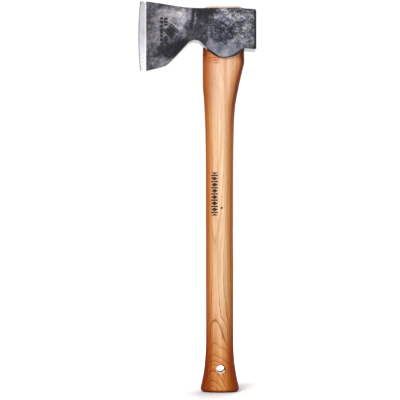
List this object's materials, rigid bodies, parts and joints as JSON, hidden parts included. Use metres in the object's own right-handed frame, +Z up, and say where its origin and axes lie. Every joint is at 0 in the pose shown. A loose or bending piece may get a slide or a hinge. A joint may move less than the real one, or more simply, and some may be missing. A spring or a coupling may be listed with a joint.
{
  "type": "single-bit axe",
  "caption": "Single-bit axe: bearded steel head with a gently curved edge and a hammer poll, wedged on a straight wooden haft with a flared end and a hanging hole.",
  "frame": {"origin": "on the haft's axis at its flat butt end", "axes": "+Z up along the haft towards the head; -X towards the cutting edge and +X towards the poll; Y is the thickness, and the axe looks the same from +Y and -Y"},
  "size_m": [0.1532, 0.0332, 0.5084],
  "materials": {
    "haft_wood": "oiled hickory, straight grain, darker at the edges and towards the butt",
    "head_steel": "forged, dark mottled scale, with a bright ground bevel at the edge",
    "wedge_wood": "plain hardwood, end grain up",
    "ring_steel": "plain, driven flush"
  },
  "bodies": {
    "root": {"haft": "haft_wood", "head": "head_steel", "eye_wedge": "wedge_wood", "ring_wedge": "ring_steel"}
  },
  "joints": []
}
